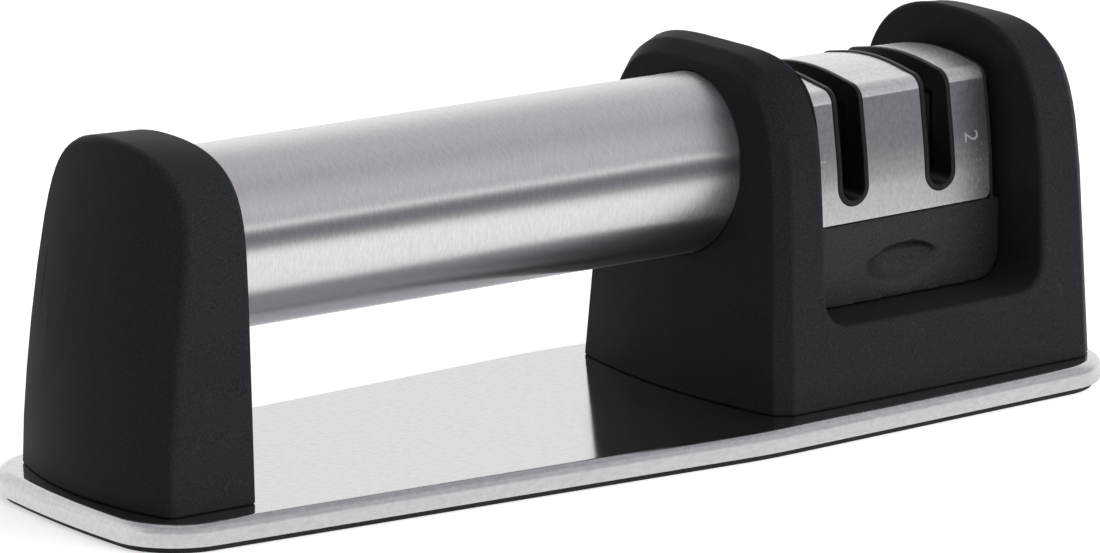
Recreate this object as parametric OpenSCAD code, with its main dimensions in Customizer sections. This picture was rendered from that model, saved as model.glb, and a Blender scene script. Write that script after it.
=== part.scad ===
// Pull through knife sharpener with a tube handle and a lift-out cartridge.
// X runs along the handle towards the sharpening head, Z is up.
// The origin lies under the middle of the base, on the surface it stands on.

/* [Base] */
// Length of the base from end to end
base_length = 194.2; // [186:0.2:204]
// Half width of the base at the handle end
base_half_rear = 27.2; // [26:0.2:30]
// Half width of the base at its widest place
base_half_mid = 34.7; // [33:0.1:38]
// Half width of the base at the head end
base_half_front = 30.2; // [29:0.2:32.6]
// Distance of the widest place from the middle, towards the head
base_wide_x = 17.8; // [8:0.2:28]
// How far each end of the base bows out
base_end_bow = 1.8; // [0.6:0.1:3]
// Corner radius of the base seen from above
base_corner_r = 11; // [6:0.5:12]
// Radius that blends the two straight runs of each long side
base_blend_r = 80; // [40:5:120]
// Outer radius of the bend round the top edge
base_bend_r = 3.2; // [2.4:0.1:3.6]
// Thickness of the steel sheet of the base
sheet_t = 1.0; // [0.6:0.1:1.4]
// Height of the steel skirt, bend included
skirt_h = 3.7; // [3.7:0.1:5]
// How far the rubber pad stands below the skirt
pad_proud = 1.2; // [0.5:0.1:1.5]
// Thickness of the rubber pad
pad_t = 2.0; // [1.6:0.1:2.2]

/* [Handle] */
// Outer diameter of the handle tube
tube_d = 30; // [26:0.5:32]
// Wall of the handle tube
tube_wall = 1.0; // [0.8:0.1:2]
// Height of the tube's axis above the base
tube_rise = 37.8; // [34:0.2:39]
// Length of the plug in each tube end
plug_length = 10; // [6:0.5:20]
// Diameter of the tie rod through the tube
rod_d = 5; // [4:0.5:6]
// Diameter of the tie rod's head
rod_head_d = 9; // [8:0.5:10]
// Height of the tie rod's head
rod_head_h = 2.6; // [2:0.1:2.8]
// Width across the flats of the square nut
nut_w = 8; // [7.5:0.5:10]
// Thickness of the square nut
nut_t = 3.6; // [3:0.1:4]

/* [Rear support] */
// Gap from the base's end to the foot of the rear support
rear_end_gap = 3.3; // [2:0.1:5]
// Thickness of the rear support at its foot
rear_thick = 19.9; // [18:0.1:24]
// Half width of the rear support at its foot
rear_half = 22.5; // [20:0.5:24]
// Height of the rear support above the base, at its outer face
rear_h = 56; // [55:0.2:60]
// How much lower its crown is on the handle's side
rear_fall = 0.6; // [0:0.1:1.5]
// How far its outer face leans in at the top
rear_lean_in = 8; // [4:0.2:8.4]
// How its outer face curves in, where 1 is straight
rear_lean_curve = 1.6; // [1:0.1:2]
// How far its outer face bows out
rear_bow = 4; // [1:0.1:4.4]
// How much each side leans in for each millimetre of height
rear_side_lean = 0.025; // [0:0.005:0.04]
// Size of the softened edge round its outer face
rear_edge = 1.2; // [0.6:0.1:2]
// Depth of the socket that takes the tube
rear_socket = 8; // [5:0.2:8.4]

/* [Head] */
// Gap from the base's end to the foot of the head
head_end_gap = 2.6; // [2:0.1:4]
// Length of the head at its foot
head_length = 73.4; // [73:0.2:78]
// Half width of the head at the face that meets the handle
head_half = 29; // [28:0.2:31]
// How much the half width falls for each millimetre towards the end
head_taper = 0.048; // [0.02:0.005:0.06]
// Height of the head above the base, at the recess
head_h = 57.7; // [57:0.1:64]
// How much lower the crown is at the handle's side
near_fall = 0.6; // [0:0.1:1.5]
// How much lower the crown is at the end
far_fall = 1.2; // [0:0.1:2]
// How far the handle-side face leans in at the top
head_lean_in = 6.7; // [3:0.1:6.8]
// How far that face bows out at the foot
head_bow = 3.4; // [1:0.1:4.4]
// How far the end face leans in at the top
head_end_lean = 3; // [1:0.1:4]
// How far the end face bows out
head_end_bow = 1.2; // [0.5:0.1:3]
// How much each side leans in for each millimetre of height
head_side_lean = 0.048; // [0.01:0.002:0.06]
// The same lean at the end
end_side_lean = 0.016; // [0:0.002:0.06]
// Width of the bevel round the face that meets the handle
head_edge = 2.3; // [1:0.1:2.6]
// Width of the bevel round the end face
end_edge = 2.8; // [1:0.1:3]
// Thickness of the cheek on the handle side, at the foot
cheek_t = 13.4; // [12.8:0.1:15]
// Length of the recess that takes the cartridge
recess_length = 46.6; // [46:0.2:48.6]
// Height of the sill above the base
sill_h = 13.1; // [11:0.1:15]
// Radius of the recess's lower corners
recess_r = 5; // [3:0.5:6]
// Wall between the tube's socket and the recess
socket_wall = 4.6; // [4.2:0.1:5]
// Width of the guide rib on each cheek
guide_w = 3; // [2:0.2:4]
// How far each guide rib stands out
guide_proud = 1.4; // [1:0.1:1.8]
// Height of each guide rib
guide_h = 12; // [8:0.5:13]

/* [Cartridge] */
// Height of the black grip block
grip_h = 13.8; // [12:0.2:15]
// Half thickness of the cartridge at its middle
cart_half = 15.75; // [15:0.05:17]
// Length of the steel cover
cover_length = 41; // [39:0.2:42]
// Height of the cover's crown above the sill
cover_top_h = 38.2; // [37.4:0.2:41]
// Fall of the crown from its middle to the shoulder
crown_drop = 1.9; // [1:0.1:2.6]
// How far the shoulder is set in from the lower face
shoulder_in = 1.9; // [1:0.1:3]
// How much the lower face leans out for each millimetre down to its foot
lower_lean = 0.05; // [0:0.01:0.08]
// Radius of the bend at the shoulder
shoulder_r = 2.8; // [1.5:0.1:4]
// Thickness of the cover's steel
cover_t = 0.8; // [0.5:0.1:1.2]
// Radius of the cover's lower corners
cover_corner_r = 1.4; // [0.6:0.1:2.4]
// Width of the black rim beside the cover
rim_w = 0.6; // [0.4:0.1:1.2]
// Distance between the two slots
slot_pitch = 19; // [18:0.2:19.6]
// Width of the slots in the steel
slot_w = 6.5; // [6.1:0.1:7]
// Width of the slot that the knife runs in
knife_w = 4.5; // [4.3:0.1:4.9]
// Height of the slots' lower end above the sill
slot_low_h = 17.1; // [16:0.1:18.6]
// How far the slot liners stand proud of the steel
liner_proud = 0.3; // [0.2:0.1:0.8]
// How deep the slot liners reach in
liner_depth = 5; // [4:0.2:5.6]
// Width of the thumb scoops
scoop_w = 15; // [10:0.5:18]
// Height of the thumb scoops
scoop_h = 7; // [5:0.5:8]
// Depth of the thumb scoops
scoop_depth = 2.2; // [1.2:0.1:2.6]
// How far the scoops lie from the cartridge's middle
scoop_shift = 1.8; // [-3:0.2:3]

/* [Sharpeners] */
// Height of the crossing above the sill
cross_h = 23.3; // [22.6:0.1:24]
// Tilt of the carbide blades from upright
blade_tilt = 25; // [20:1:27]
// Width of a carbide blade
blade_w = 4; // [3:0.2:4.4]
// Thickness of a carbide blade
blade_t = 1.8; // [1:0.1:2.2]
// Length of a carbide blade above the crossing
blade_up = 9; // [8:0.2:9.4]
// Length of a carbide blade below the crossing
blade_down = 6.6; // [6:0.2:7.4]
// Tilt of the ceramic rods from upright
ceramic_tilt = 22; // [18:1:25]
// Diameter of a ceramic rod
ceramic_d = 3.6; // [3:0.1:4]

/* [Screws] */
// Shank diameter of the screws from below
screw_d = 3; // [2.5:0.1:3.6]
// Head diameter of the screws from below
screw_head_d = 5.8; // [5:0.1:6.4]
// Length of the screws from below
screw_length = 12; // [9:0.5:14]
// Shank diameter of the cartridge's screws
cart_screw_d = 2.4; // [2:0.1:2.8]
// Head diameter of the cartridge's screws
cart_screw_head_d = 4.6; // [4:0.1:5.4]

/* [Hidden] */

// Clearances
slide_gap = 0.3;
fit_gap = 0.05;
tube_gap = 0.1;
hole_gap = 0.2;

// Steps of the curve that each upright follows across its width
side_share = 0.72;
side_steps = 5;
crown_steps = 18;
foot_steps = 6;
crown_crowding = 1.3;
face_shares = [0.3, 0.6, 0.8];

// Levels of the base
base_top = pad_proud + skirt_h;
sheet_low = base_top - sheet_t;
pad_inset = sheet_t + 0.3;
core_inset = base_bend_r + tube_gap;
bend_steps = 8;
corner_steps = 12;
blend_steps = 4;
end_steps = 8;

// Shapes across the uprights: powers for width and height, lean of the sides, height
rear_out_shape = [2, 11, rear_side_lean, rear_h];
rear_in_shape = [2.3, 11, rear_side_lean, rear_h - rear_fall];
near_face_shape = [3.6, 7.3, head_side_lean + 0.03, head_h - near_fall];
near_cheek_shape = [3.7, 10.6, head_side_lean, head_h];
far_cheek_shape = [2.5, 6.3, end_side_lean, head_h];
far_face_shape = [3.6, 6.3, end_side_lean, head_h - far_fall];

// Places along the length
base_end = base_length / 2;
rear_out_x = -base_end + rear_end_gap;
rear_in_x = rear_out_x + rear_thick;
head_out_x = base_end - head_end_gap;
head_in_x = head_out_x - head_length;
recess_x0 = head_in_x + cheek_t;
recess_x1 = recess_x0 + recess_length;
tube_z = base_top + tube_rise;
tube_x0 = rear_in_x - rear_socket;
tube_x1 = recess_x0 - socket_wall;
socket_r = tube_d / 2 + tube_gap;
rod_hole_d = rod_d + 2 * hole_gap;
rod_end_x = tube_x0 - nut_t;
guide_root = 0.5;

// Edge of the rear support on the handle's side, and the pockets that core out both supports
rear_inner_edge = 0.5;
rear_pocket_w = 9;
socket_floor = 3;
screw_wall = 5;
pocket_count = 3;
pocket_rib = 2.4;
pocket_wall = 7;
sill_wall = 2.8;
end_wall = 3;
end_pocket = [6, 18, 0.7 * head_h];

// Screws from below, up through the base
screw_head_h = sheet_low - pad_t;
screw_low = pad_t;
rear_screw_in = 8.6;
rear_screw_x = rear_in_x - rear_screw_in;
rear_screw_y = 13;
head_screw_in = [8, 7];
head_screw_x = [head_in_x + head_screw_in[0], head_out_x - head_screw_in[1]];
head_screw_y = 16;
pilot_d = screw_d - 0.3;
drive_share = 0.8;
drive_depth = 0.6;

// Cartridge
sill_z = base_top + sill_h;
cart_x = (recess_x0 + recess_x1) / 2;
grip_length = recess_length - 2 * slide_gap;
grip_low = sill_z + slide_gap;
grip_top = grip_low + grip_h;
cover_low = grip_top + slide_gap;
core_length = cover_length + 2 * rim_w;
cart_top = sill_z + cover_top_h;
shoulder_z = cart_top - crown_drop;
lower_face_fall = 13;
lower_face_z = shoulder_z - lower_face_fall;
lower_face_r = 80;
crown_r = 45;
slot_z = sill_z + slot_low_h + slot_w / 2;
coarse_x = cart_x - slot_pitch / 2;
fine_x = cart_x + slot_pitch / 2;
holder_half = 6.9;
holder_side_gap = 1.2;
holder_top_gap = 0.9;
holder_depth = cart_half - liner_depth - holder_side_gap;
holder_top = cart_top - liner_depth - holder_top_gap;
cross_z = sill_z + cross_h;
cart_screw_y = 7;
cart_screw_up = 7;
cart_screw_wall = 4;
cart_screw_head_h = 1.6;
cart_screw_spare = 0.5;
grip_floor = 2.4;
scoop_tilt = 20;
scoop_rise = 0.4 * grip_h;

// Turns a flat vector to unit length
function unit(v) = v / norm(v);

// Turns a flat vector a quarter turn to its right
function right_of(v) = [v.y, -v.x];

// Points of the arc that rounds corner b of an outline that runs a, b, c anticlockwise
function corner_arc(a, b, c, r, steps) =
    let (
        u = unit(a - b),
        v = unit(c - b),
        half = acos(u * v) / 2,
        centre = b + unit(u + v) * r / sin(half),
        first = b + u * r / tan(half) - centre,
        start = atan2(first.y, first.x),
        sweep = 180 - 2 * half
    )
    [for (k = [0:steps]) centre + r * [cos(start + sweep * k / steps), sin(start + sweep * k / steps)]];

// The same outline drawn in by a distance
function inset(points, d) =
    let (n = len(points))
    [for (i = [0:n - 1])
        let (
            before = unit(points[i] - points[(i + n - 1) % n]),
            after = unit(points[(i + 1) % n] - points[i]),
            out = unit(right_of(before + after))
        )
        points[i] - out * d / (out * right_of(before))];

// A flat outline lifted to a height
function lift(points, z) = [for (p = points) [p.x, p.y, z]];

// An outline across the cartridge set at a place along X
function stand(points, x) = [for (p = points) [x, p.x, p.y]];

// Solid skin over a stack of rings of equal length, each running anticlockwise.
// Each end is closed flat, or drawn to a tip where one is given.
module loft(rings, first_tip = undef, last_tip = undef) {
    n = len(rings[0]);
    m = len(rings);
    points = concat([for (ring = rings) each ring], is_undef(first_tip) ? [] : [first_tip, last_tip]);
    sides = [for (k = [0:m - 2], i = [0:n - 1])
        let (
            a = k * n + i,
            b = a + n,
            d = k * n + (i + 1) % n,
            c = d + n
        )
        each [[a, b, c], [a, c, d]]];
    top = (m - 1) * n;
    flat_ends = [[for (i = [0:n - 1]) i], [for (i = [n - 1:-1:0]) top + i]];
    fans = [for (i = [0:n - 1])
        let (next = (i + 1) % n)
        each [[m * n, i, next], [m * n + 1, top + next, top + i]]];
    polyhedron(points, concat(sides, is_undef(first_tip) ? flat_ends : fans));
}

// Bow of the base's ends, fading out round the corners
function bow_end(p) =
    let (
        straight = base_end - base_end_bow,
        half = p.x > 0 ? base_half_front : base_half_rear,
        fade = max(0, min(1, (abs(p.x) - straight + base_corner_r) / base_corner_r))
    )
    [p.x + sign(p.x) * base_end_bow * fade * (1 - pow(p.y / half, 2)), p.y];

// Half outline of the base from the middle of its rear end along the near side
function base_half_outline() =
    let (
        x = base_end - base_end_bow,
        rear = [-x, -base_half_rear],
        wide = [base_wide_x, -base_half_mid],
        front = [x, -base_half_front],
        rear_flat = base_half_rear - base_corner_r,
        front_flat = base_half_front - base_corner_r
    )
    concat(
        [for (k = [1:2:end_steps - 1]) [-x, -rear_flat * k / end_steps]],
        corner_arc([-x, 0], rear, wide, base_corner_r, corner_steps),
        corner_arc(rear, wide, front, base_blend_r, blend_steps),
        corner_arc(wide, front, [x, 0], base_corner_r, corner_steps),
        [for (k = [end_steps - 1:-2:1]) [x, -front_flat * k / end_steps]]
    );

// Whole outline of the base seen from above
function base_outline() =
    let (
        near = [for (p = base_half_outline()) bow_end(p)],
        n = len(near)
    )
    concat(near, [for (k = [n - 1:-1:0]) [near[k].x, -near[k].y]]);

// Body of the base from one height to another, drawn in and with a bent top edge
module base_body(low, high, drawn_in, bend) {
    outline = base_outline();
    loft(concat(
        [lift(inset(outline, drawn_in), low)],
        [for (k = [0:bend_steps])
            let (a = 90 * k / bend_steps)
            lift(inset(outline, drawn_in + bend * (1 - cos(a))), high - bend + bend * sin(a))]
    ));
}

// Body of the base with straight sides
module base_slab(low, high, drawn_in) {
    outline = inset(base_outline(), drawn_in);
    loft([lift(outline, low), lift(outline, high)]);
}

// Widths of the curve across an upright as shares of its half width, from foot to crown
function curve_widths(shape) =
    let (last = pow(1 - pow(side_share, shape[1]), 1 / shape[0]))
    concat(
        [for (k = [0:side_steps - 1]) pow(1 - pow(side_share * k / side_steps, shape[1]), 1 / shape[0])],
        [for (k = [0:crown_steps]) last * (1 - pow(k / crown_steps, crown_crowding))]
    );

// Place on the curve across an upright, drawn in square to the curve.
// A shape holds the powers for width and height, the lean of the sides and the height.
function curve_place(u, shape, half, drawn_in) =
    let (
        rise = shape[3],
        v = pow(1 - pow(u, shape[0]), 1 / shape[1]),
        slope = [
            shape[0] * pow(u, shape[0] - 1) / half,
            shape[1] * pow(v, shape[1] - 1) / rise
        ],
        out = unit(slope)
    )
    [(half - shape[2] * rise * v) * u - drawn_in * out.x, rise * v - drawn_in * out.y];

// One ring across an upright that lies on a curved face.
// The ring may be drawn in, shrunk about the face's middle and shifted along X.
function upright_ring(face, half, shape, drawn_in = 0, share = 1, shift = 0) =
    let (
        x0 = face(0, 0),
        side = [for (u = curve_widths(shape)) curve_place(u, shape, half(x0), drawn_in)],
        foot = [for (k = [1 - foot_steps:foot_steps - 1]) [side[0].x * k / foot_steps, 0]],
        n = len(side),
        flat = concat(foot, side, [for (k = [n - 2:-1:0]) [-side[k].x, side[k].y]]),
        middle = shape[3] / 2
    )
    [for (p = flat)
        let (
            y = p.x * share,
            z = middle + (p.y - middle) * share,
            x = face(y, z) + shift
        )
        [x, y * half(x) / half(x0), z]];

// Rings from the middle of an upright's end face out over its bevelled or rounded edge.
// The side is 1 where the body lies towards +X and -1 where it lies the other way.
function face_rings(face, half, shape, edge, steps, side) = concat(
    [for (share = face_shares) upright_ring(face, half, shape, edge, share)],
    [for (k = [0:steps])
        let (a = 90 * k / steps)
        upright_ring(face, half, shape, edge * (1 - sin(a)), 1, side * edge * (1 - cos(a)))]
);

// Upright body between two sets of face rings, with whole rings between them
module upright(left_rings, between, right_rings) {
    n = len(right_rings);
    left = left_rings[0];
    right = right_rings[0];
    loft(
        concat(left_rings, between, [for (k = [n - 1:-1:0]) right_rings[k]]),
        middle_of(left),
        middle_of(right)
    );
}

// Middle of a ring across an upright, halfway from its foot to its crown
function middle_of(ring) = (ring[foot_steps - 1] + ring[foot_steps - 1 + len(ring) / 2]) / 2;

// Cylinder that lies along X from one place to another
module along_x(x0, x1, d, z, y = 0) {
    translate([x0, y, z]) rotate([0, 90, 0]) cylinder(d = d, h = x1 - x0, $fn = 96);
}

// Cylinder that stands from one height to another
module upright_pin(x, y, low, high, d) {
    translate([x, y, low]) cylinder(d = d, h = high - low, $fn = 48);
}

// Screw with a flat head, driven from below
module screw_up(x, y, low, shank, length, head, head_h, drive) {
    difference() {
        union() {
            upright_pin(x, y, low, low + head_h, head);
            upright_pin(x, y, low, low + length, shank);
        }
        translate([x, y, low - 1]) cylinder(d = drive, h = 1 + head_h * drive_depth, $fn = 6);
    }
}

module base_screw_holes(d) {
    for (side = [-1, 1]) {
        upright_pin(rear_screw_x, side * rear_screw_y, 0, base_top + 1, d);
        for (x = head_screw_x) upright_pin(x, side * head_screw_y, 0, base_top + 1, d);
    }
}

module base_plate() color([0.78, 0.78, 0.79]) {
    difference() {
        base_body(pad_proud, base_top, 0, base_bend_r);
        base_body(pad_proud - 1, sheet_low, sheet_t, base_bend_r - sheet_t);
        base_screw_holes(screw_d + 2 * hole_gap);
    }
}

module base_core() color([0.2, 0.2, 0.21]) {
    difference() {
        base_slab(pad_t, sheet_low, core_inset);
        base_screw_holes(screw_head_d + 2 * hole_gap);
    }
}

module anti_slip_pad() color([0.08, 0.08, 0.08]) {
    base_slab(0, pad_t, pad_inset);
}

module rear_support() color([0.14, 0.15, 0.16]) {
    half = function (x) rear_half;
    outer = function (y, z) rear_out_x
        + rear_lean_in * pow(max(0, z) / rear_h, rear_lean_curve)
        + rear_bow * pow(y / rear_half, 2);
    inner = function (y, z) rear_in_x;
    difference() {
        translate([0, 0, base_top]) upright(
            face_rings(outer, half, rear_out_shape, rear_edge, 2, 1),
            [],
            face_rings(inner, half, rear_in_shape, rear_inner_edge, 1, -1)
        );
        along_x(tube_x0, rear_in_x + 1, 2 * socket_r, tube_z);
        translate([rod_end_x - fit_gap, -nut_w / 2 - fit_gap, tube_z - nut_w / 2 - fit_gap])
            cube([nut_t + 1, nut_w + 2 * fit_gap, nut_w + 2 * fit_gap]);
        for (side = [-1, 1]) {
            upright_pin(rear_screw_x, side * rear_screw_y, base_top - 1, base_top + screw_length, pilot_d);
        }
        translate([rear_screw_x - rear_pocket_w / 2, screw_wall - rear_screw_y, base_top - 1])
            cube([rear_pocket_w, 2 * (rear_screw_y - screw_wall), 1 + tube_rise - socket_r - socket_floor]);
    }
}

module rear_screws() color([0.6, 0.6, 0.62]) {
    for (side = [-1, 1]) {
        screw_up(rear_screw_x, side * rear_screw_y, screw_low, pilot_d - 2 * fit_gap, screw_length,
            screw_head_d, screw_head_h, screw_d * drive_share);
    }
}

// Block that reaches as far to each side, with round lower corners seen from the side
module round_foot(x0, x1, low, high, r, reach) {
    translate([0, reach, 0]) rotate([90, 0, 0]) linear_extrude(2 * reach) union() {
        translate([x0, low + r]) square([x1 - x0, high - low - r]);
        translate([x0 + r, low]) square([x1 - x0 - 2 * r, high - low]);
        for (x = [x0 + r, x1 - r]) translate([x, low + r]) circle(r = r, $fn = 64);
    }
}

// Pockets that core out the head from below, with ribs between them
module head_pockets() {
    pitch = (recess_length - pocket_rib) / pocket_count;
    for (k = [0:pocket_count - 1]) {
        translate([recess_x0 + pocket_rib + k * pitch, pocket_wall - head_half, base_top - 1])
            cube([pitch - pocket_rib, 2 * (head_half - pocket_wall), 1 + sill_h - sill_wall]);
    }
    translate([recess_x1 + end_wall, -end_pocket.y / 2, base_top - 1]) cube(end_pocket);
}

module head_housing() color([0.14, 0.15, 0.16]) {
    half = function (x) head_half - head_taper * (x - head_in_x);
    near = function (y, z) head_in_x
        + head_lean_in * z / head_h
        + head_bow * pow(y / head_half, 2) * (1 - z / head_h);
    far = function (y, z) head_out_x
        - head_end_lean * z / head_h
        - head_end_bow * pow(y / head_half, 2);
    near_wall = function (y, z) recess_x0;
    far_wall = function (y, z) recess_x1;
    difference() {
        translate([0, 0, base_top]) upright(
            face_rings(near, half, near_face_shape, head_edge, 1, 1),
            [upright_ring(near_wall, half, near_cheek_shape), upright_ring(far_wall, half, far_cheek_shape)],
            face_rings(far, half, far_face_shape, end_edge, 1, -1)
        );
        round_foot(recess_x0, recess_x1, sill_z, sill_z + 2 * head_h, recess_r, head_half + 5);
        along_x(head_in_x - 1, tube_x1, 2 * socket_r, tube_z);
        along_x(head_in_x, recess_x0 + 1, rod_hole_d, tube_z);
        along_x(recess_x0 - rod_head_h - hole_gap, recess_x0 + 1, rod_head_d + 2 * hole_gap, tube_z);
        head_pockets();
        for (side = [-1, 1], x = head_screw_x) {
            upright_pin(x, side * head_screw_y, base_top - 1, base_top + screw_length, pilot_d);
        }
    }
    for (x = [recess_x0 - guide_root, recess_x1 - guide_proud]) {
        translate([x, -guide_w / 2, sill_z + recess_r]) cube([guide_proud + guide_root, guide_w, guide_h]);
    }
}

module head_screws() color([0.6, 0.6, 0.62]) {
    for (side = [-1, 1], x = head_screw_x) {
        screw_up(x, side * head_screw_y, screw_low, pilot_d - 2 * fit_gap, screw_length,
            screw_head_d, screw_head_h, screw_d * drive_share);
    }
}

module handle_tube() color([0.8, 0.78, 0.78]) {
    difference() {
        along_x(tube_x0, tube_x1, tube_d, tube_z);
        along_x(tube_x0 - 1, tube_x1 + 1, tube_d - 2 * tube_wall, tube_z);
    }
}

module tube_plug(x) {
    difference() {
        along_x(x, x + plug_length, tube_d - 2 * tube_wall - 2 * fit_gap, tube_z);
        along_x(x - 1, x + plug_length + 1, rod_hole_d, tube_z);
    }
}

module tube_plug_rear() color([0.15, 0.15, 0.15]) tube_plug(tube_x0);

module tube_plug_front() color([0.15, 0.15, 0.15]) tube_plug(tube_x1 - plug_length);

module tie_rod() color([0.6, 0.6, 0.62]) {
    difference() {
        union() {
            along_x(rod_end_x, recess_x0 - rod_head_h, rod_d, tube_z);
            along_x(recess_x0 - rod_head_h - hole_gap, recess_x0 - hole_gap, rod_head_d, tube_z);
        }
        translate([recess_x0 - hole_gap - rod_head_h * drive_depth, 0, tube_z]) rotate([0, 90, 0])
            cylinder(d = rod_head_d / 2, h = rod_head_h, $fn = 6);
    }
}

module tie_rod_nut() color([0.6, 0.6, 0.62]) {
    difference() {
        translate([rod_end_x, -nut_w / 2, tube_z - nut_w / 2]) cube([nut_t - fit_gap, nut_w, nut_w]);
        along_x(rod_end_x - 1, tube_x0 + 1, rod_d + 2 * fit_gap, tube_z);
    }
}

// Half thickness of the cartridge at a place along X
function cart_half_at(x) = cart_half - head_taper * (x - cart_x);

// Outline across the cartridge's upper part, from its near lower corner
function cart_outline(x, low) =
    let (
        y = cart_half_at(x),
        foot = [y + lower_lean * (lower_face_z - low), low],
        knee = [y, lower_face_z],
        shoulder = [y - shoulder_in, shoulder_z],
        peak = [0, cart_top + crown_r * (1 / cos(atan(crown_drop / (y - shoulder_in))) - 1)],
        far_shoulder = [-shoulder.x, shoulder.y],
        right_half = concat(
            [foot],
            corner_arc(foot, knee, shoulder, lower_face_r, 10),
            corner_arc(knee, shoulder, peak, shoulder_r, 9),
            [for (p = corner_arc(shoulder, peak, far_shoulder, crown_r, 9)) if (p.x > 0) p]
        )
    )
    concat(right_half, [for (k = [len(right_half) - 1:-1:0]) [-right_half[k].x, right_half[k].y]]);

// Body that follows the cartridge's outline between two places along X
module cart_body(x0, x1, low, drawn_in) {
    loft([for (x = [x0, x1]) stand(inset(cart_outline(x, low), drawn_in), x)]);
}

// Slab across the cartridge that keeps its outline at one place along X
module cart_slab(x, w, low, drawn_in) {
    translate([x - w / 2, 0, 0]) rotate([90, 0, 90])
        linear_extrude(w) polygon(inset(cart_outline(x, low), drawn_in));
}

// Knife slot with a round lower end, open at the top, along Y
module slot_cut(x, w, reach) {
    translate([x, -reach, slot_z]) rotate([-90, 0, 0]) cylinder(d = w, h = 2 * reach, $fn = 64);
    translate([x - w / 2, -reach, slot_z]) cube([w, 2 * reach, cart_top]);
}

module thumb_scoop(side) {
    x = cart_x + scoop_shift;
    y = cart_half_at(x);
    translate([x, side * y, grip_low + scoop_rise]) rotate([side * scoop_tilt, 0, 0])
        scale([scoop_w / 2, scoop_depth, scoop_h / 2]) sphere(r = 1, $fn = 36);
}

module cartridge_grip() color([0.2, 0.2, 0.21]) {
    x0 = cart_x - grip_length / 2;
    x1 = cart_x + grip_length / 2;
    groove_depth = guide_proud;
    groove_w = guide_w + 2 * slide_gap;
    difference() {
        intersection() {
            translate([0, 0, grip_low]) linear_extrude(grip_h) polygon([
                [x0, -cart_half_at(x0)],
                [x1, -cart_half_at(x1)],
                [x1, cart_half_at(x1)],
                [x0, cart_half_at(x0)]
            ]);
            round_foot(x0, x1, grip_low, grip_top + 1, recess_r, cart_half + 5);
        }
        for (side = [-1, 1]) thumb_scoop(side);
        for (x = [x0 - 1, x1 - groove_depth]) {
            translate([x, -groove_w / 2, grip_low - 1]) cube([groove_depth + 1, groove_w, grip_h + 2]);
        }
        for (x = [coarse_x, fine_x]) {
            translate([x - holder_half, -holder_depth, grip_low - 1])
                cube([2 * holder_half, 2 * holder_depth, 1 + grip_h - grip_floor]);
        }
        for (side = [-1, 1]) {
            upright_pin(cart_x, side * cart_screw_y, grip_low - 1, grip_top + 1, cart_screw_d + 2 * hole_gap);
            upright_pin(cart_x, side * cart_screw_y, grip_low - 1, grip_top - cart_screw_wall,
                cart_screw_head_d + 2 * hole_gap);
        }
    }
}

module cartridge_core() color([0.2, 0.2, 0.21]) {
    x0 = cart_x - core_length / 2;
    x1 = cart_x + core_length / 2;
    cover_x0 = cart_x - cover_length / 2 - fit_gap;
    cover_x1 = cart_x + cover_length / 2 + fit_gap;
    under = cover_t + fit_gap;
    difference() {
        union() {
            intersection() {
                cart_body(x0, x1, grip_top - under, under);
                translate([x0, -cart_half - 2, grip_top]) cube([core_length, 2 * cart_half + 4, cover_top_h]);
            }
            cart_body(x0, cover_x0, grip_top, 0);
            cart_body(cover_x1, x1, grip_top, 0);
        }
        for (x = [coarse_x, fine_x]) {
            slot_cut(x, slot_w, cart_half + 2);
            translate([x - holder_half - fit_gap, -holder_depth - fit_gap, grip_top - 1])
                cube([2 * (holder_half + fit_gap), 2 * (holder_depth + fit_gap), holder_top - grip_top + 1 + fit_gap]);
        }
        for (side = [-1, 1]) {
            upright_pin(cart_x, side * cart_screw_y, grip_top - 1, grip_top + cart_screw_up, cart_screw_d);
        }
    }
}

module cartridge_cover() color([0.8, 0.8, 0.81]) {
    x0 = cart_x - cover_length / 2;
    x1 = cart_x + cover_length / 2;
    difference() {
        intersection() {
            cart_body(x0 - 1, x1 + 1, cover_low - 1, 0);
            round_foot(x0, x1, cover_low, cart_top + 1, cover_corner_r, cart_half + 2);
        }
        cart_body(x0 - 2, x1 + 2, cover_low - 2, cover_t);
        for (x = [coarse_x, fine_x]) slot_cut(x, slot_w, cart_half + 2);
    }
}

module cartridge_screws() color([0.6, 0.6, 0.62]) {
    low = grip_top - cart_screw_wall - cart_screw_head_h;
    high = grip_top + cart_screw_up - cart_screw_spare;
    for (side = [-1, 1]) {
        screw_up(cart_x, side * cart_screw_y, low, cart_screw_d - 2 * fit_gap, high - low,
            cart_screw_head_d, cart_screw_head_h, cart_screw_d * drive_share);
    }
}

// Liner that edges a slot over the front, the crown and the back
module slot_liner(x) {
    half = slot_w / 2 - fit_gap;
    inner = cart_half_at(x) - liner_depth;
    low = slot_z - 2 * slot_w;
    difference() {
        intersection() {
            cart_slab(x, 2 * slot_w, slot_z - slot_w, -liner_proud);
            slot_cut(x, 2 * half, cart_half + 3);
        }
        slot_cut(x, knife_w, cart_half + 4);
        translate([x - slot_w, -inner, low]) cube([2 * slot_w, 2 * inner, cart_top - liner_depth - low]);
    }
}

module slot_liner_coarse() color([0.13, 0.13, 0.13]) slot_liner(coarse_x);

module slot_liner_fine() color([0.13, 0.13, 0.13]) slot_liner(fine_x);

// Block that carries one pair of sharpeners, with the knife slot through it
module holder_block(x) {
    difference() {
        translate([x - holder_half, -holder_depth, grip_top])
            cube([2 * holder_half, 2 * holder_depth, holder_top - grip_top]);
        slot_cut(x, knife_w, cart_half);
    }
}

// Flat carbide blade, tilted across the slot
module carbide_blade(side, gap) {
    y = side * (blade_t / 2 + fit_gap);
    translate([coarse_x, y, cross_z]) rotate([0, side * blade_tilt, 0])
        translate([-blade_w / 2 - gap, -blade_t / 2 - gap, -blade_down - gap])
            cube([blade_w + 2 * gap, blade_t + 2 * gap, blade_up + blade_down + 2 * gap]);
}

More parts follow.
